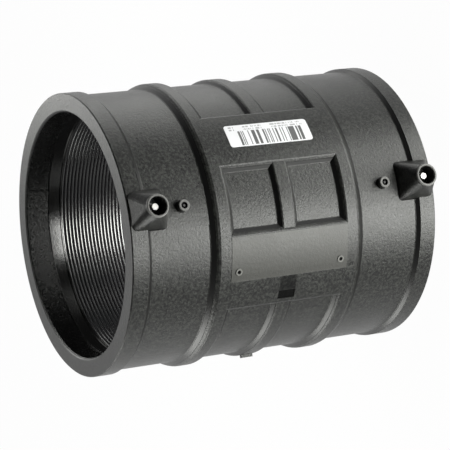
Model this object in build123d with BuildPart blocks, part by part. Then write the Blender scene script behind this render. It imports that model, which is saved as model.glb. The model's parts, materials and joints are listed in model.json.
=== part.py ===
"""Electrofusion coupler for 250 mm polyethylene pipe.

The coupler stands on its lower end face, with its axis along +Z and the origin at that face's
centre. Both terminals face -Y. Angles round the sleeve are counted from the terminals, positive
towards +X. All sizes are in millimetres.
"""

import os
from math import cos, degrees, radians, sin

from build123d import *

# ---------------------------------------------------------------- driving dimensions

# Sleeve
length = 348.0
pipe_radius = 125.0
winding_clearance = 1.0
wall = 17.5
collar_rise = 3.5
collar_land = 18.0
collar_slope = 4.5
end_edge_chamfer = 1.0

# Socket bore, from each end face inwards
entry_clearance = 2.4
entry_depth = 26.5
lip_chamfer = 2.0
guide_clearance = 1.6
guide_depth = 38.0
groove_clearance = 2.8
groove_width = 2.0

# Heating wire
winding_start = 41.5
winding_turns = 22
wire_pitch = 4.1
wire_diameter = 3.8
lead_offset = 0.8

# Raised middle zone, with pockets whose walls lean out
ring_rise = 5.5
ring_start = 86.0
ring_slope = 8.5
ring_land = 13.0
ring_edge_chamfer = 1.2
rib_rise = 4.3
rib_width = 14.0
wall_run = 6.0
rim_chamfer = 0.8

# Angles at which the longitudinal bands between the pockets begin
front_pocket_half_angle = 13.6
label_band_angle = 36.8
plate_band_angle = 44.6

# Blank moulding plate on the lower front band, with its step, studs and batch recess
plate_height = 0.4
plate_angles = (-32.3, -14.3)
plate_step_height = 0.2
plate_step_angle = -37.8
stud_radius = 3.6
stud_height = 0.9
stud_dish_radius = 2.0
stud_inset = 8.0
stud_angle = -28.2
batch_recess_length = 19.0
batch_recess_width = 10.0
batch_recess_depth = 0.6
batch_recess_angle = -40.8

# Terminal shrouds, flush with the end faces
shroud_base = 42.0
shroud_corner = 5.0
shroud_mouth_radius = 11.8
shroud_height = 29.2
shroud_collar = 3.0
shroud_edge_round = 1.2
well_radius = 9.4
well_depth = 16.0
well_edge_chamfer = 0.5

# Terminal pins
pin_radius = 3.6
pin_below_mouth = 7.0
pin_edge = 0.5
anchor_radius = 4.4
anchor_length = 7.0
shank_radius = 2.5
shank_past_lead = 0.2

# Raised bands between the shrouds and the rings
band_rise = 0.3

# Fusion indicators
indicator_from_shroud = 17.0
boss_radius = 5.8
boss_foot_radius = 6.5
boss_height = 7.9
boss_edge_chamfer = 0.6
indicator_well_radius = 3.4
indicator_well_depth = 5.5
indicator_radius = 1.5
indicator_edge_chamfer = 0.4
indicator_below_boss = 1.0
indicator_above_wire = 1.2

# Gate stub left on the middle rib
gate_angle = -90.0
gate_width = 4.0
gate_length = 13.0
gate_height = 3.0

# Label
label_length = 94.5
label_width = 26.5
label_angle = 26.1
label_thickness = 0.3
label_corner = 3.0

# ---------------------------------------------------------------- derived places

middle = length / 2
winding_radius = pipe_radius + winding_clearance
winding_back = winding_radius + wire_diameter
winding_end = winding_start + winding_turns * wire_pitch
guide_radius = pipe_radius + guide_clearance
entry_radius = pipe_radius + entry_clearance
groove_radius = pipe_radius + groove_clearance
lead_radius = winding_back + lead_offset
barrel_radius = winding_radius + wall
collar_radius = barrel_radius + collar_rise
ring_radius = barrel_radius + ring_rise
rib_radius = barrel_radius + rib_rise
shroud_top_radius = barrel_radius + shroud_height
terminal_inset = shroud_base / 2
indicator_inset = shroud_base + indicator_from_shroud
ring_end = ring_start + ring_slope
pocket_start = ring_end + ring_land
wall_slope = wall_run / ring_rise
pocket_end = middle - rib_width / 2 + wall_slope * (ring_rise - rib_rise)
plate_length = length - 2 * pocket_start
shank_foot = lead_radius - wire_diameter / 2 - shank_past_lead
well_floor = shroud_top_radius - well_depth
boss_top = barrel_radius + boss_height
embed = 3.0
shroud_root = (barrel_radius**2 - (shroud_base / 2) ** 2) ** 0.5 - 1.0


def outward(angle):
    """Unit vector that points out of the sleeve, at an angle from the terminals."""
    return Vector(sin(radians(angle)), -cos(radians(angle)), 0)


def tangent_plane(angle, radius, height):
    """Work plane that touches the sleeve: local Y runs up the axis and local Z points outwards."""
    normal = outward(angle)
    return Plane(normal * radius + Vector(0, 0, height), x_dir=Vector(0, 0, 1).cross(normal), z_dir=normal)


def both_halves(corners):
    """Corners (radius, height) of the lower half, followed by their mirror images."""
    return corners + [(radius, length - height) for radius, height in reversed(corners)]


def ends(inset):
    """The two heights that lie the same distance in from the lower and the upper end face."""
    return inset, length - inset


def draw_sector(inner_radius, outer_radius, start_angle, end_angle, flare=0.0):
    """Outline of a ring sector, whose sides spread by a flare angle towards the inner radius."""
    half_way = (start_angle + end_angle) / 2
    first_foot = outward(start_angle - flare) * inner_radius
    last_foot = outward(end_angle + flare) * inner_radius
    Line(first_foot, outward(start_angle) * outer_radius)
    ThreePointArc(
        outward(start_angle) * outer_radius,
        outward(half_way) * outer_radius,
        outward(end_angle) * outer_radius,
    )
    Line(outward(end_angle) * outer_radius, last_foot)
    ThreePointArc(last_foot, outward(half_way) * inner_radius, first_foot)


def edges_at(solid, radius):
    """Edges of a solid whose two ends lie at a radius from the sleeve's axis."""
    return ShapeList(
        edge
        for edge in solid.edges()
        if all(abs((v.X**2 + v.Y**2) ** 0.5 - radius) < 0.01 for v in edge.vertices())
    )


def mouth_edges(solid, top_radius, radius):
    """Round edges of one radius on the mouths that face -Y at a distance from the axis."""
    circles = solid.edges().filter_by(GeomType.CIRCLE)
    return circles.filter_by(lambda e: abs(e.center().Y + top_radius) < 0.01 and abs(e.radius - radius) < 0.01)


# ---------------------------------------------------------------- terminal pins


def make_terminal_pin(height):
    """Contact pin: a bare post in the well, an anchor in the plastic and a shank down to the lead."""
    with BuildPart() as pin:
        with BuildSketch(tangent_plane(0, shank_foot, height)):
            Circle(shank_radius)
        extrude(amount=well_floor - shank_foot)
        with BuildSketch(tangent_plane(0, well_floor - anchor_length, height)):
            Circle(anchor_radius)
        extrude(amount=anchor_length)
        with BuildSketch(tangent_plane(0, well_floor, height)):
            Circle(pin_radius)
        extrude(amount=well_depth - pin_below_mouth)
        chamfer(pin.faces().sort_by(Axis.Y)[0].edges(), length=pin_edge)
    return pin.part


# ---------------------------------------------------------------- fusion indicators


def make_fusion_indicator(height):
    """Round pin that stands in the boss's well and is pushed up by the melt under it."""
    foot = winding_back + indicator_above_wire
    with BuildPart() as indicator:
        with BuildSketch(tangent_plane(0, foot, height)):
            Circle(indicator_radius)
        extrude(amount=boss_top - indicator_below_boss - foot)
        chamfer(indicator.faces().sort_by(Axis.Y)[0].edges(), length=indicator_edge_chamfer)
    return indicator.part


lower_terminal_pin, upper_terminal_pin = [make_terminal_pin(height) for height in ends(terminal_inset)]
lower_fusion_indicator, upper_fusion_indicator = [
    make_fusion_indicator(height) for height in ends(indicator_inset)
]

# ---------------------------------------------------------------- heating wire

# One wire, as the closed sleeve that its turns fill in each socket, the link across the cold
# middle, and the leads up to the shanks of the terminal pins.
with BuildPart() as heating_wire:
    with BuildSketch(Plane.XZ) as winding_section:
        for low, high in ((winding_start, winding_end), (length - winding_end, length - winding_start)):
            with Locations(((winding_radius + winding_back) / 2, (low + high) / 2)):
                Rectangle(wire_diameter, high - low)
    revolve(axis=Axis.Z)
    with BuildSketch(Plane.XY.offset(winding_end - embed)) as link_section:
        with Locations((0, -lead_radius)):
            Circle(wire_diameter / 2)
    extrude(amount=length - 2 * (winding_end - embed))
    lead_length = winding_start + embed - terminal_inset - shank_radius / 2
    for start in (terminal_inset + shank_radius / 2, length - winding_start - embed):
        with BuildSketch(Plane.XY.offset(start)):
            with Locations((0, -lead_radius)):
                Circle(wire_diameter / 2)
        extrude(amount=lead_length)
    add(lower_terminal_pin, mode=Mode.SUBTRACT)
    add(upper_terminal_pin, mode=Mode.SUBTRACT)

# ---------------------------------------------------------------- body

# Corners (radius, height) from one end face to the middle, bevelled where a ring's slope meets
# its land.
slope_share = ring_edge_chamfer / ring_slope
outer_corners = both_halves(
    [
        (collar_radius - end_edge_chamfer, 0),
        (collar_radius, end_edge_chamfer),
        (collar_radius, collar_land),
        (barrel_radius, collar_land + collar_slope),
        (barrel_radius, ring_start),
        (ring_radius - slope_share * ring_rise, ring_end - ring_edge_chamfer),
        (ring_radius, ring_end + ring_edge_chamfer),
    ]
)
bore_corners = both_halves(
    [
        (entry_radius + lip_chamfer, 0),
        (entry_radius, lip_chamfer),
        (entry_radius, entry_depth),
        (guide_radius, entry_depth),
        (guide_radius, guide_depth),
        (groove_radius, guide_depth),
        (groove_radius, guide_depth + groove_width),
        (guide_radius, guide_depth + groove_width),
    ]
)

# The pockets stand in two rings either side of the middle rib, and in four rows: one at the
# front, one at the back and a long one on each side. Their walls lean out.
pocket_outside = ring_radius + embed
pocket_rows = [
    (-front_pocket_half_angle, front_pocket_half_angle),
    (label_band_angle, 180 - label_band_angle),
    (180 - front_pocket_half_angle, 180 + front_pocket_half_angle),
    (180 + plate_band_angle, 360 - plate_band_angle),
]

with BuildPart() as pockets:
    with BuildSketch(Plane.XZ):
        flare = wall_slope * embed
        for low, high in ((pocket_start, pocket_end), (length - pocket_end, length - pocket_start)):
            with BuildLine():
                Polyline(
                    (barrel_radius, low + wall_run),
                    (barrel_radius, high - wall_run),
                    (pocket_outside, high + flare),
                    (pocket_outside, low - flare),
                    close=True,
                )
            make_face()
        with Locations(((rib_radius + pocket_outside) / 2, middle)):
            Rectangle(pocket_outside - rib_radius, rib_width + 2 * wall_run)
    revolve(axis=Axis.Z)
    with BuildSketch(Plane.XY.offset(ring_end)):
        side_flare = degrees(wall_slope * (pocket_outside - barrel_radius + embed) / barrel_radius)
        for start, end in pocket_rows:
            spread = degrees(wall_slope * embed / ring_radius)
            with BuildLine():
                draw_sector(
                    barrel_radius - embed,
                    pocket_outside,
                    start - spread,
                    end + spread,
                    flare=-side_flare,
                )
            make_face()
    extrude(amount=length - 2 * ring_end, mode=Mode.INTERSECT)

with BuildPart() as coupler_body:
    # Sleeve, collars and raised zone in one turned outline, less the pockets
    with BuildSketch(Plane.XZ) as sleeve_section:
        with BuildLine():
            Polyline(outer_corners + bore_corners[::-1], close=True)
        make_face()
    revolve(axis=Axis.Z)
    add(pockets.part, mode=Mode.SUBTRACT)
    rims = edges_at(coupler_body.part, ring_radius)
    chamfer(rims.filter_by(lambda e: pocket_start - 1 < e.center().Z < length - pocket_start + 1), length=rim_chamfer)
    chamfer(edges_at(coupler_body.part, rib_radius).filter_by(GeomType.CIRCLE), length=rim_chamfer)

    # Blank moulding plate and its lower step
    with BuildSketch(Plane.XY.offset(middle - plate_length / 2)):
        with BuildLine():
            draw_sector(barrel_radius, ring_radius + plate_height, *plate_angles)
        make_face()
        with BuildLine():
            draw_sector(barrel_radius, ring_radius + plate_step_height, plate_step_angle, plate_angles[0])
        make_face()
    extrude(amount=plate_length)
    stud_reach = plate_length / 2 - stud_inset
    for height in (middle - stud_reach, middle + stud_reach):
        with BuildSketch(tangent_plane(stud_angle, ring_radius - embed, height)):
            Circle(stud_radius)
        extrude(amount=embed + plate_height + stud_height)
        with BuildSketch(tangent_plane(stud_angle, ring_radius + plate_height, height)):
            Circle(stud_dish_radius)
        extrude(amount=2 * stud_height, mode=Mode.SUBTRACT)
    with BuildSketch(tangent_plane(batch_recess_angle, ring_radius - batch_recess_depth, middle)):
        Rectangle(batch_recess_width, batch_recess_length)
    extrude(amount=embed, mode=Mode.SUBTRACT)

    # Raised bands, terminal shrouds and indicator bosses
    band_half_angle = degrees(shroud_base / 2 / barrel_radius)
    band_length = ring_start + ring_slope / 2 - terminal_inset
    for start in (terminal_inset, length - terminal_inset - band_length):
        with BuildSketch(Plane.XY.offset(start)):
            with BuildLine():
                draw_sector(
                    barrel_radius - embed,
                    barrel_radius + band_rise,
                    -band_half_angle,
                    band_half_angle,
                )
            make_face()
        extrude(amount=band_length)
    for height in ends(terminal_inset):
        with BuildSketch(tangent_plane(0, shroud_root, height)):
            RectangleRounded(shroud_base, shroud_base, shroud_corner)
        with BuildSketch(tangent_plane(0, shroud_top_radius - shroud_collar, height)):
            RectangleRounded(2 * shroud_mouth_radius, 2 * shroud_mouth_radius, shroud_mouth_radius - 0.1)
        loft()
        with BuildSketch(tangent_plane(0, shroud_top_radius - 2 * shroud_collar, height)):
            Circle(shroud_mouth_radius)
        extrude(amount=2 * shroud_collar)
        with BuildSketch(tangent_plane(0, well_floor, height)):
            Circle(well_radius)
        extrude(amount=well_depth, mode=Mode.SUBTRACT)
    fillet(mouth_edges(coupler_body.part, shroud_top_radius, shroud_mouth_radius), radius=shroud_edge_round)
    chamfer(mouth_edges(coupler_body.part, shroud_top_radius, well_radius), length=well_edge_chamfer)
    for height in ends(indicator_inset):
        with BuildSketch(tangent_plane(0, barrel_radius - embed, height)):
            Circle(boss_foot_radius)
        with BuildSketch(tangent_plane(0, boss_top, height)):
            Circle(boss_radius)
        loft()
        with BuildSketch(tangent_plane(0, boss_top - indicator_well_depth, height)):
            Circle(indicator_well_radius)
        extrude(amount=indicator_well_depth, mode=Mode.SUBTRACT)
    chamfer(mouth_edges(coupler_body.part, boss_top, boss_radius), length=boss_edge_chamfer)

    # Stub of the gate
    with BuildSketch(tangent_plane(gate_angle, rib_radius - embed, middle)):
        Rectangle(gate_width, gate_length)
    extrude(amount=embed + gate_height)

    # The body is moulded round the wire, the pins and the indicators
    add(heating_wire.part, mode=Mode.SUBTRACT)
    for insert in (lower_terminal_pin, upper_terminal_pin, lower_fusion_indicator, upper_fusion_indicator):
        add(insert, mode=Mode.SUBTRACT)

# ---------------------------------------------------------------- label

label_half_angle = degrees(label_width / 2 / ring_radius)
with BuildPart() as barcode_label:
    with BuildSketch(Plane.XY.offset(middle - label_length / 2)):
        with BuildLine():
            draw_sector(
                ring_radius,
                ring_radius + label_thickness,
                label_angle - label_half_angle,
                label_angle + label_half_angle,
            )
        make_face()
    extrude(amount=label_length)
    fillet([e for e in barcode_label.edges() if e.length < 2 * label_thickness], radius=label_corner)

# ---------------------------------------------------------------- files

pieces = {
    "coupler_body": coupler_body.part,
    "heating_wire": heating_wire.part,
    "lower_terminal_pin": lower_terminal_pin,
    "upper_terminal_pin": upper_terminal_pin,
    "lower_fusion_indicator": lower_fusion_indicator,
    "upper_fusion_indicator": upper_fusion_indicator,
    "barcode_label": barcode_label.part,
}
os.makedirs("parts", exist_ok=True)
for label, piece in pieces.items():
    piece.label = label
    export_step(piece, f"parts/{label}.step")
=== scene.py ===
# %% [markdown]
# # An electrofusion coupler, finished for a render
#
# An electrofusion coupler is a thick black polyethylene sleeve. Two pipe ends are pushed into it,
# a current is sent through a wire that is wound in its bore, and the melt welds the pipes to it.
# Here its exact shape comes from a imported CAD model, and this lesson adds what CAD leaves out:
# the turns of the wire, the finish of every surface, a camera and soft light.
#
# We load the frame first and note the sleeve's length, read from its box.

import json
from math import cos, pi, radians, sin

import bmesh
import bpy
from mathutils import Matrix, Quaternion, Vector


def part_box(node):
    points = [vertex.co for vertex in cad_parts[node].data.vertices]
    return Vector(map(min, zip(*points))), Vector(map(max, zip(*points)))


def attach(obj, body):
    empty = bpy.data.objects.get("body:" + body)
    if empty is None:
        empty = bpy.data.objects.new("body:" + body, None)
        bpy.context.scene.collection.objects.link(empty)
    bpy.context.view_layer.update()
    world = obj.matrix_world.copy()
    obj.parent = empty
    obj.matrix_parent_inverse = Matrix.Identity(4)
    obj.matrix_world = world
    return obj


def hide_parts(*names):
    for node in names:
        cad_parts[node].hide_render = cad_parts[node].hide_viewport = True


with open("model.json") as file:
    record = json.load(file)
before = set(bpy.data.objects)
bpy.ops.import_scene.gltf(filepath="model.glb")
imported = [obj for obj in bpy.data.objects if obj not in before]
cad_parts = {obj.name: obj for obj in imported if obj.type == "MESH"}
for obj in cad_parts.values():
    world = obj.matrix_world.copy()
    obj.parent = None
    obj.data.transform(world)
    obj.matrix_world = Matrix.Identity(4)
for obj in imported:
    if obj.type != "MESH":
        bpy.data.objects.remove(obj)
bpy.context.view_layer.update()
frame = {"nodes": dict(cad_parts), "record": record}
nodes = frame["nodes"]
mounts = {mount["name"]: mount for mount in frame["record"]["mounts"]}

sleeve_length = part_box("coupler_body")[1].z
middle = sleeve_length / 2
print(f"coupler {sleeve_length * 1000:.0f} mm long, in {len(nodes)} CAD nodes")

# %% [markdown]
# ## The camera
#
# The coupler stands on one end, but it is shown lying down, with one open end turned to the
# viewer. Laying the model down would move the CAD away from its frame. A coupler has no up side,
# so we roll the camera instead. A long lens from over two metres keeps its two ends nearly the
# same size, as on a catalogue page.


# %% Place the camera
def direction(azimuth, elevation):
    """Unit vector from the coupler outwards. Azimuth 0 is the side of the terminals, and 90 is +X."""
    flat = cos(radians(elevation))
    return Vector(
        (sin(radians(azimuth)) * flat, -cos(radians(azimuth)) * flat, sin(radians(elevation)))
    )


view_azimuth = -6.07
view_elevation = 26.63
view_distance = 2.2286
view_roll = -96.95
aim = Vector((-0.0081, 0.0002, 0.1726))
lens_length = 167.1

camera_side = direction(view_azimuth, view_elevation)
camera_data = bpy.data.cameras.new("camera")
camera_data.lens = lens_length
camera = bpy.data.objects.new("camera", camera_data)
camera.location = aim + view_distance * camera_side
camera.rotation_mode = "QUATERNION"
camera.rotation_quaternion = (
    camera_side.to_track_quat("Z", "Y") @ Quaternion((0, 0, 1), radians(view_roll))
)
bpy.context.scene.collection.objects.link(camera)
bpy.context.scene.camera = camera
print(f"camera {view_distance:.2f} m away, {view_elevation:.0f} degrees up")

# %% [markdown]
# ## The floor
#
# The floor is a stage prop: a plain grid that takes the coupler's faint shadow and nothing more.
# Some of the lamps hang lower than it, because they stand round the sleeve as they would if it
# lay on its side. We could cut holes in the floor for them. It is simpler to let their light and
# their reflections pass through it, which are two switches on the object.

# %% Lay the floor
floor_size = 12.0
floor_drop = 0.0002
floor_mesh = bpy.data.meshes.new("floor")
floor_bm = bmesh.new()
bmesh.ops.create_grid(floor_bm, x_segments=1, y_segments=1, size=floor_size / 2)
floor_bm.to_mesh(floor_mesh)
floor_bm.free()
floor = bpy.data.objects.new("floor", floor_mesh)
floor.location.z = -floor_drop
floor.visible_glossy = False
floor.visible_shadow = False
bpy.context.scene.collection.objects.link(floor)
print(f"floor {floor_size:.0f} m wide")

# %% [markdown]
# ## A short way to write shader nodes
#
# Every finish here is a network of nodes, and most of them are plain sums on numbers that change
# over the surface. They could be added and linked one by one, at four lines each. We wrap an
# output in a small class instead, so that a formula in Python adds its own Math nodes and reads
# as a formula.


# %% Signals
class Signal:
    """A value that changes over a surface. Sums and products on it add Math nodes."""

    def __init__(self, nodes_of, output):
        self.nodes_of = nodes_of
        self.output = output

    def math(self, operation, first, second=0.0):
        return self.nodes_of.add("ShaderNodeMath", {"operation": operation}, {0: first, 1: second})

    def __add__(self, other):
        return self.math("ADD", self, other)

    def __sub__(self, other):
        return self.math("SUBTRACT", self, other)

    def __mul__(self, other):
        return self.math("MULTIPLY", self, other)

    def __truediv__(self, other):
        return self.math("DIVIDE", self, other)

    def __radd__(self, other):
        return self.math("ADD", other, self)

    def __rsub__(self, other):
        return self.math("SUBTRACT", other, self)

    def __rmul__(self, other):
        return self.math("MULTIPLY", other, self)

    def __abs__(self):
        return self.math("ABSOLUTE", self)

    def power(self, exponent):
        return self.math("POWER", self, exponent)

    def floor(self):
        return self.math("FLOOR", self)

    def turned_from(self, other):
        """The angle of the point (other, self), in degrees."""
        return self.math("ARCTAN2", self, other) * (180 / pi)

    def smallest(self, other):
        return self.math("MINIMUM", self, other)

    def largest(self, other):
        return self.math("MAXIMUM", self, other)

    def above(self, level, soft):
        """0 below a level and 1 above it, with a soft step between."""
        settings = {"interpolation_type": "SMOOTHSTEP"}
        values = {"Value": self, "From Min": level - soft / 2, "From Max": level + soft / 2}
        return self.nodes_of.add("ShaderNodeMapRange", settings, values)

    def within(self, low, high, soft):
        """1 between two levels and 0 outside them."""
        return self.above(low, soft) * (1 - self.above(high, soft))


print("signals can be added, multiplied and compared")


# %% Node trees
class Nodes:
    """Adds nodes to one node tree."""

    def __init__(self, tree):
        self.tree = tree

    def add(self, kind, settings, values, output=0):
        """Adds a node, sets it up, fills its sockets and returns one output as a signal."""
        node = self.tree.nodes.new(kind)
        for name, value in settings.items():
            setattr(node, name, value)
        for name, value in values.items():
            if isinstance(value, Signal):
                self.tree.links.new(value.output, node.inputs[name])
            else:
                node.inputs[name].default_value = value
        return Signal(self, node.outputs[output])

    def blend(self, factor, first, second):
        """Mixes two colours."""
        settings = {"data_type": "RGBA"}
        return self.add("ShaderNodeMix", settings, {0: factor, 6: first, 7: second}, output=2)

    def noise(self, point, size, detail=2.0, roughness=0.5):
        """Noise from 0 to 1 whose blobs are about one size, in metres."""
        values = {"Vector": point, "Scale": 1 / size, "Detail": detail, "Roughness": roughness}
        return self.add("ShaderNodeTexNoise", {}, values)

    def bump(self, height, distance, strength=1.0):
        """A normal that leans as a relief of this height would."""
        values = {"Strength": strength, "Distance": distance, "Height": height}
        return self.add("ShaderNodeBump", {}, values, output="Normal")

    def seen_by_camera(self):
        """1 where the camera looks straight at the surface, and 0 in its mirrored and diffuse light."""
        return self.add("ShaderNodeLightPath", {}, {}, output="Is Camera Ray")

    def close(self, surface, kind="ShaderNodeOutputMaterial"):
        """Ends the tree in its output node."""
        output = self.tree.nodes.new(kind)
        self.tree.links.new(surface.output, output.inputs["Surface"])

    def close_principled(self, values):
        """Ends the tree in one Principled surface with these inputs."""
        self.close(self.add("ShaderNodeBsdfPrincipled", {}, values))


def new_material(name):
    """An empty material and its nodes."""
    material = bpy.data.materials.new(name)
    material.use_nodes = True
    material.node_tree.nodes.clear()
    return material, Nodes(material.node_tree)


def grey(level):
    """An opaque grey."""
    return (level, level, level, 1.0)


def finish_nodes(names, material):
    """Gives CAD nodes a better material."""
    for name in names:
        nodes[name].data.materials[0] = material
    print(f"{material.name}: {len(material.node_tree.nodes)} shader nodes, on {', '.join(names)}")


print("node trees can be mixed, bumped and closed")


# %% [markdown]
# ## White surroundings
#
# Black plastic has almost no colour of its own. What we see on it is the room, so the room is the
# material's other half. A product like this is shown on white, which would turn the mirrored
# plastic pale all over. A studio hangs black cloth beside the camera to keep the front dark.
#
# We do both at once. What the camera sees directly is white, while mirrored rays see a room that
# is pale behind the coupler, dark in front of it, and dark beyond its far end. The floor glows
# for the camera in the same way, but it keeps a trace of the shadow.

# %% Finish the floor
floor_glow = 0.975
floor_paint = 0.8
floor_material, at = new_material("studio_floor")
pale = at.add("ShaderNodeBsdfDiffuse", {}, {"Color": grey(floor_paint)})
white = at.add("ShaderNodeEmission", {}, {"Color": grey(1.0), "Strength": 1.0})
at.close(at.add("ShaderNodeMixShader", {}, {0: at.seen_by_camera() * floor_glow, 1: pale, 2: white}))
floor_mesh.materials.append(floor_material)
print(f"the floor keeps {1 - floor_glow:.1%} of its shadow")

# %% Grade the room
dark_front = direction(-6.0, 36.0)
dark_below = Vector((0, 0, -1))
room_dark = 0.01
room_pale = 0.8
world = bpy.data.worlds.new("studio")
bpy.context.scene.world = world
world.use_nodes = True
world.node_tree.nodes.clear()
at = Nodes(world.node_tree)
heading = at.add("ShaderNodeTexCoord", {}, {}, output="Generated")
dot_product = {"operation": "DOT_PRODUCT"}
to_front = at.add("ShaderNodeVectorMath", dot_product, {0: heading, 1: dark_front}, output="Value")
to_below = at.add("ShaderNodeVectorMath", dot_product, {0: heading, 1: dark_below}, output="Value")
lit_share = (1 - to_front.above(0.05, 0.9)) * (1 - to_below.above(0.75, 0.3))
room_level = room_dark + (room_pale - room_dark) * lit_share
room = at.add("ShaderNodeBackground", {}, {"Color": grey(1.0), "Strength": room_level})
backdrop = at.add("ShaderNodeBackground", {}, {"Color": grey(1.0), "Strength": 1.0})
at.close(
    at.add("ShaderNodeMixShader", {}, {0: at.seen_by_camera(), 1: room, 2: backdrop}),
    kind="ShaderNodeOutputWorld",
)
print(f"room from {room_dark} in front to {room_pale} behind")

# %% [markdown]
# ## Soft boxes
#
# Lamps do the drawing. A round black sleeve mirrors each lamp as one streak along its length, at
# the angle halfway between lamp and viewer. Point lamps would give hairlines, so we use broad
# rectangles, as a studio does, and set how bright each would look in a mirror.
#
# - key_box draws the broad sheen below the terminals, and fill_box a narrower one beside it
# - top_box lights the upper side, beyond the label
# - low_box catches the slopes of the rings that face the viewer's end, low on the sleeve
# - rim_box lights the end face, and crown_box the near face of the shroud beside it
#
# In the bore, light comes from the sleeve's far end. One small lamp inside, unseen by the camera,
# does the same work with much less noise.


# %% Hang the soft boxes
lamp_tint = (0.99, 1.0, 0.96)


def soft_box(name, azimuth, elevation, distance, width, height, radiance):
    """A rectangular lamp that faces the coupler's middle, as bright as it would look in a mirror."""
    lamp = bpy.data.lights.new(name, "AREA")
    lamp.shape = "RECTANGLE"
    lamp.size = width
    lamp.size_y = height
    lamp.energy = radiance * pi * width * height
    lamp.color = lamp_tint
    box = bpy.data.objects.new(name, lamp)
    outwards = direction(azimuth, elevation)
    box.location = Vector((0, 0, middle)) + distance * outwards
    box.rotation_mode = "QUATERNION"
    box.rotation_quaternion = outwards.to_track_quat("Z", "Y")
    bpy.context.scene.collection.objects.link(box)
    print(f"{name}: {lamp.energy:.1f} W")
    return box


soft_box("key_box", -21, -34, 1.7, 0.9, 1.4, 11.0)
soft_box("fill_box", 28, -46, 0.9, 0.4, 0.5, 7.5)
soft_box("top_box", 95, -14, 0.9, 0.8, 0.45, 1.7)
soft_box("low_box", -108, 17, 1.4, 0.8, 0.8, 6.5)
soft_box("rim_box", 142, 32, 0.8, 0.4, 0.35, 5.0)
soft_box("crown_box", 167, 63, 1.2, 0.5, 0.4, 4.0)

# %% Light the bore
bore_lamp_drop = 0.016
bore_lamp = soft_box("bore_lamp", -4, 0, 0.07, 0.08, 0.14, 24.0)
bore_lamp.location.z -= bore_lamp_drop
bore_lamp.visible_camera = False
print(f"bore lamp at a height of {bore_lamp.location.z * 1000:.0f} mm")

# %% [markdown]
# ## Places on the sleeve
#
# The sleeve is injection moulded in black polyethylene. Its mottled skin gives way to smoother
# places: the date plate, the sloped walls, the lips and the bore. The mesh could be cut up and
# given a material for each. We leave the CAD alone and find the places by their radius and their
# angle round the sleeve, which Math nodes give from the Object coordinates. The finish can't slide
# when the coupler moves, and each place keeps a crisp edge.


# %% Coordinates round the sleeve
class Round:
    """Radius, angle from the terminals in degrees, height and depth from the nearer end, in metres."""

    def __init__(self, at):
        self.point = at.add("ShaderNodeTexCoord", {}, {}, output="Object")
        split = at.add("ShaderNodeSeparateXYZ", {}, {"Vector": self.point})
        x, y, self.height = (Signal(at, split.output.node.outputs[axis]) for axis in "XYZ")
        self.radius = (x * x + y * y).power(0.5)
        self.angle = x.turned_from(0 - y)
        self.depth = self.height.smallest(sleeve_length - self.height)
        self.off_middle = abs(self.height - middle)


polyethylene, at = new_material("moulded_polyethylene")
where = Round(at)
edge = 0.0004
edge_angle = 0.3
print(f"places on the sleeve have edges {edge * 1000:.1f} mm wide")

# %% Find the date plate and its studs
plate_angles = (-32.3, -14.3)
plate_half_length = 0.067
plate_radius = 0.1492
stud_angle = -28.2
stud_reach = 0.0585
stud_radius = 0.0036
dish_radius = 0.0020

plate = (
    where.angle.within(*plate_angles, edge_angle)
    * where.radius.above(plate_radius, edge)
    * (1 - where.off_middle.above(plate_half_length, edge))
)
arc = (where.angle - stud_angle) * (plate_radius * pi / 180)
reach = where.off_middle - stud_reach
stud_distance = (arc * arc + reach * reach).power(0.5)
stud = (1 - stud_distance.above(stud_radius, edge)) * plate
dish = (1 - stud_distance.above(dish_radius, edge)) * plate
print(f"date plate {2 * plate_half_length * 1000:.0f} mm long, with two studs")

# %% Find the batch recess and the darker patch above it
recess_angles = (-42.7, -38.9)
dark_patch_angles = (recess_angles[1], plate_angles[0])
dark_patch_edge_angle = 1.2
dark_patch_edge = 0.003
recess_half_length = 0.0095
bore_radius = 0.1285

bore = 1 - where.radius.above(bore_radius, edge)
recess = (
    where.angle.within(*recess_angles, edge_angle)
    * (1 - bore)
    * (1 - where.off_middle.above(recess_half_length, edge))
)
# a darker patch between the recess and the plate, which the polyethylene colours partly black and takes
# some sheen from
dark_patch = (
    where.angle.within(*dark_patch_angles, dark_patch_edge_angle)
    * (1 - where.off_middle.above(recess_half_length, dark_patch_edge))
    * (1 - plate)
)
print(f"batch recess {2 * recess_half_length * 1000:.0f} mm long")

# %% Find the bore's land, the sloped walls and the lips
entry_depth = 0.0265
wall_radii = (0.1439, 0.1467)
collar_depth = 0.015
shroud_lip_radius = 0.1708
boss_lip_radius = 0.1508
boss_reach = 0.115
boss_half_width = 0.0066

land = bore * where.depth.above(entry_depth, edge)
walls = where.radius.within(*wall_radii, edge) * where.depth.above(collar_depth, edge)
shroud_lip = where.radius.above(shroud_lip_radius, edge)
boss_band = 1 - abs(where.off_middle - boss_reach).above(boss_half_width, edge)
lips = shroud_lip.largest(where.radius.above(boss_lip_radius, edge) * boss_band)
print(f"the pipe entry is {entry_depth * 1000:.1f} mm deep")

# %% [markdown]
# ## Moulded polyethylene
#
# The mould's outside was spark eroded, so the skin is a fine matt mottle, in which polished spots
# glint between duller ones. An image of such a skin would have to be unwrapped over every rib. A
# noise in the solid needs no unwrapping, and it keeps one scale everywhere.
#
# A noise of under three millimetres, broken by one four times finer, drives a low bump, some of
# the roughness and a little colour. The plate, the walls and the lips carry less of it, and the
# guide land in the bore is nearly polished. Shade is painted into the recess, the dishes of the
# studs and the whole bore: they are coloured nearly black, and the recess, the dishes and the rough
# pipe entry also lose their sheen, so they look dead black. Plastic always has a sheen, so there we
# turn Metallic up over a black colour, which is the one input that takes the sheen away. A darker
# patch between the recess and the plate is coloured partly black and loses some sheen. Highlights
# are painted as a lighter colour on the lips and on the ring of each stud, and sheen as a lighter
# colour on the plate.

# %% Mottle the skin
grain_size = 0.0027
fine_grain_size = grain_size / 4
cloud_size = 0.025
mottle_height = 0.0003

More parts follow.
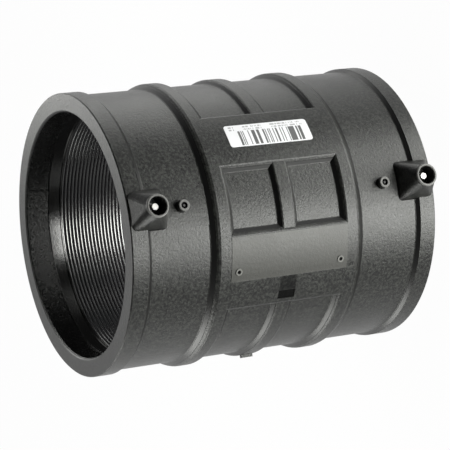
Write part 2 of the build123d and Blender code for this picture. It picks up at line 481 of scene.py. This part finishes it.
grain = at.noise(where.point, grain_size, detail=3.0, roughness=0.6)
fine_grain = at.noise(where.point, fine_grain_size)
cloud = at.noise(where.point, cloud_size, detail=3.0)
textured = (1 - plate * 0.5) * (1 - walls) * (1 - lips) * (1 - bore * 0.2) * (1 - land * 0.9)
relief = (grain + fine_grain * 0.4) * textured * (1 + bore * 1.5)
roughness = (
    0.36
    + (grain - 0.5) * textured * 0.36
    + (cloud - 0.5) * 0.1
    + plate * 0.06
    + recess * 0.3
    - bore * 0.12
    - land * 0.08
)
print(f"mottle of {grain_size * 1000:.1f} mm, {mottle_height * 1000:.1f} mm high")

# %% Colour the polyethylene
dull = grey(0.008)
worn = (0.038, 0.040, 0.036, 1)
# painted sheen: the date plate gets a lighter colour that stands in for the sheen of its face
plate_sheen = (0.068, 0.068, 0.062, 1)
# painted highlight: the lips of the shrouds and of the bosses get a lighter colour, as if they caught
# the light
lip_highlight = (0.15, 0.15, 0.145, 1)
# painted highlight: the ring round each stud's dish gets a lighter colour, as a lit top face
bright = (0.16, 0.16, 0.15, 1)
# painted shade: a near-black colour for the recess, the dishes of the studs and the whole bore
black = grey(0.003)

mottled = at.blend((grain * 0.7 + fine_grain * 0.3).above(0.53, 0.2) * textured, dull, worn)
with_plate = at.blend(plate * 0.75, mottled, plate_sheen)
with_lips = at.blend(lips, with_plate, lip_highlight)
with_studs = at.blend(stud, with_lips, bright)
# painted shade in the recess and the stud dishes, plus the darker patch above the recess; with the bore
# they go near-black and lose sheen
painted_shade_and_dark_patch = recess.largest(dish).largest(dark_patch * 0.6)
tint = at.blend(painted_shade_and_dark_patch.largest(bore), with_studs, black)
sheenless = (painted_shade_and_dark_patch * 0.85).largest((bore - land) * 0.7)
at.close_principled(
    {
        "Base Color": tint,
        "Roughness": roughness,
        "Metallic": sheenless,
        "Normal": at.bump(relief, mottle_height),
    }
)
finish_nodes(["coupler_body"], polyethylene)

# %% [markdown]
# ## The heating wire
#
# The wire lies in the bore in a helix, one winding for each pipe end. Its black coating has melted
# flat against its neighbours, so that each turn shows as a low glossy ridge. A striped bump on the
# CAD's plain sleeve would show that from afar, but not at its edges.
#
# We draw one section of the coated wire and let the spin operator carry it round and along at
# once. The helix starts and ends half a turn too long, and two flat cuts trim it to the length
# that the CAD holds for it.


# %% Draw the wire's section
socket = mounts["upper_socket"]["dims"]
crest_radius = socket["r_mm"] / 1000
winding_length = socket["length_mm"] / 1000
back_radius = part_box("heating_wire")[1].y
ridge_depth = back_radius - crest_radius
turns = 22
pitch = winding_length / turns
gap = 0.00004
ridge_points = [(0.5, 0.38), (0.43, 0.18), (0.28, 0.05), (0.0, 0.0)]


def wire_section():
    """The outline of one turn, as points of (offset along the bore, radius)."""
    width = pitch - 2 * gap
    side = [(share * width, crest_radius + drop * ridge_depth) for share, drop in ridge_points]
    other_side = [(-offset, radius) for offset, radius in side[-2::-1]]
    return [(width / 2, back_radius)] + side + other_side + [(-width / 2, back_radius)]


print(f"{turns} turns of {pitch * 1000:.1f} mm, {ridge_depth * 1000:.1f} mm deep")

# %% Trim a winding flat
cut_tolerance = 1e-7
rim_tolerance = 1e-6


def trim(bm, height, facing):
    """Cuts off what lies past a level plane, and closes the cut."""
    bmesh.ops.bisect_plane(
        bm,
        geom=bm.verts[:] + bm.edges[:] + bm.faces[:],
        dist=cut_tolerance,
        plane_co=(0, 0, height),
        plane_no=(0, 0, facing),
        clear_outer=True,
    )
    open_sides = [side for side in bm.edges if side.is_boundary]
    rim = [
        side
        for side in open_sides
        if all(abs(corner.co.z - height) < rim_tolerance for corner in side.verts)
    ]
    bmesh.ops.holes_fill(bm, edges=rim, sides=0)


print(f"cuts are closed to {rim_tolerance * 1e6:.0f} micrometre")

# %% Wind the wire
steps_per_turn = 96
sharp_angle = radians(40)


def wind(socket_name, name):
    """The winding of one socket, as a closed coil of coated wire."""
    centre = mounts[socket_name]["pos_m"][2]
    low, high = centre - winding_length / 2, centre + winding_length / 2
    first = low - pitch / 2
    bm = bmesh.new()
    ring = [bm.verts.new((0, -radius, first + offset)) for offset, radius in wire_section()]
    sides = [bm.edges.new(pair) for pair in zip(ring, ring[1:] + ring[:1])]
    bmesh.ops.spin(
        bm,
        geom=ring + sides,
        cent=(0, 0, 0),
        axis=(0, 0, 1),
        dvec=(0, 0, pitch / steps_per_turn),
        angle=2 * pi,
        steps=steps_per_turn,
        use_merge=False,
    )
    one_turn = bm.verts[:] + bm.edges[:] + bm.faces[:]
    for count in range(1, turns + 1):
        copied = bmesh.ops.duplicate(bm, geom=one_turn)["geom"]
        copied_verts = [part for part in copied if isinstance(part, bmesh.types.BMVert)]
        bmesh.ops.translate(bm, verts=copied_verts, vec=(0, 0, count * pitch))
    bmesh.ops.remove_doubles(bm, verts=bm.verts, dist=gap / 4)
    trim(bm, low, -1)
    trim(bm, high, 1)
    bmesh.ops.recalc_face_normals(bm, faces=bm.faces)
    open_count = sum(side.is_boundary for side in bm.edges)
    mesh = bpy.data.meshes.new(name)
    bm.to_mesh(mesh)
    bm.free()
    mesh.shade_smooth()
    mesh.set_sharp_from_angle(angle=sharp_angle)
    coil = bpy.data.objects.new(name, mesh)
    bpy.context.scene.collection.objects.link(coil)
    print(f"{name}: {len(mesh.polygons)} faces, {open_count} open edges")
    return coil


coils = [wind("upper_socket", "upper_winding"), wind("lower_socket", "lower_winding")]

# %% [markdown]
# ## The wire's coating
#
# The coating is the same polyethylene, but it was melted smooth, so it shines like lacquer. A
# mirror finish would be too perfect for it, so a faint smear of noise in the roughness and in a
# very low bump breaks the long highlights.

# %% Coat the wire
coating_black = (0.012, 0.012, 0.013, 1)
coating_ior = 1.7
smear_size = 0.004
smear_height = 0.0002

coating, at = new_material("wire_coating")
where = Round(at)
smear = at.noise(where.point, smear_size)
at.close_principled(
    {
        "Base Color": coating_black,
        "IOR": coating_ior,
        "Roughness": 0.19 + smear * 0.06,
        "Normal": at.bump(smear, smear_height, strength=0.02),
    }
)
for coil in coils:
    coil.data.materials.append(coating)
    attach(coil, "root")
    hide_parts("heating_wire")
print(f"{len(coils)} windings of {turns} turns, coated")

# %% [markdown]
# ## Terminal pins and fusion indicators
#
# The pins are turned and plated, and a welding lead's plug is pushed on them. A mirror would only
# show the dark well round it, so a fine scuff widens the highlight, as the plug does in use. The
# indicators are plain black plastic, with a finer speck than the body's, because they are small.

# %% Plate the pins
plating = (0.86, 0.85, 0.83, 1)
scuff_size = 0.0006

pin_metal, at = new_material("pin_metal")
where = Round(at)
scuff = at.noise(where.point, scuff_size)
at.close_principled({"Base Color": plating, "Metallic": 1.0, "Roughness": 0.28 + scuff * 0.15})
finish_nodes(["lower_terminal_pin", "upper_terminal_pin"], pin_metal)

# %% Mould the indicators
indicator_black = grey(0.02)
speck_size = 0.001

indicator, at = new_material("indicator_polyethylene")
where = Round(at)
speck = at.noise(where.point, speck_size)
at.close_principled({"Base Color": indicator_black, "Roughness": 0.45 + speck * 0.1})
finish_nodes(["lower_fusion_indicator", "upper_fusion_indicator"], indicator)

# %% [markdown]
# ## The label
#
# A white paper label lies on the band above the front pockets. It carries a bar code, with two
# rows of small marks above it. An image would carry real words, so instead the label is divided
# into equal cells, and a random value for each decides whether it is inked. The bars and the rows
# look right from afar and say nothing from near.

# %% Divide the label
label_low, label_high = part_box("barcode_label")
label_length = label_high.z - label_low.z
label_angle = 26.1
label_half_angle = 5.1
crisp = 0.02
crisp_end = 0.002


def chance(position, count):
    """A random value from 0 to 1 for each of the equal cells that a length is divided into."""
    settings = {"noise_dimensions": "1D"}
    values = {"W": (position * count).floor()}
    return position.nodes_of.add("ShaderNodeTexWhiteNoise", settings, values, output="Value")


paper, at = new_material("label_paper")
where = Round(at)
along = (label_high.z - where.height) / label_length
across = (label_angle + label_half_angle - where.angle) / (2 * label_half_angle)
print(f"label {label_length * 1000:.0f} mm long")

# %% Print the label
bar_field = along.within(0.14, 0.91, crisp_end) * across.within(0.3, 0.95, crisp)
bars = chance(along, 96).above(0.46, crisp) * bar_field
upper_marks = chance(along, 130).above(0.4, crisp) * across.within(0.07, 0.14, crisp / 2)
lower_marks = chance(along + 2, 110).above(0.4, crisp) * across.within(0.19, 0.26, crisp / 2)
words = chance(along, 9).above(0.35, crisp) * along.within(0.05, 0.95, crisp_end)
ink_share = bars * 0.9 + (upper_marks + lower_marks) * words * 0.5

paper_white = (0.9, 0.9, 0.93, 1)
ink = grey(0.03)
fibre_size = 0.0004
fibre = at.noise(where.point, fibre_size)
at.close_principled(
    {"Base Color": at.blend(ink_share, paper_white, ink), "Roughness": 0.4 + fibre * 0.2}
)
finish_nodes(["barcode_label"], paper)

# %% [markdown]
# ## Last settings
#
# The Standard view shows colours as they are written.

# %% Finish
bpy.context.scene.view_settings.view_transform = "Standard"
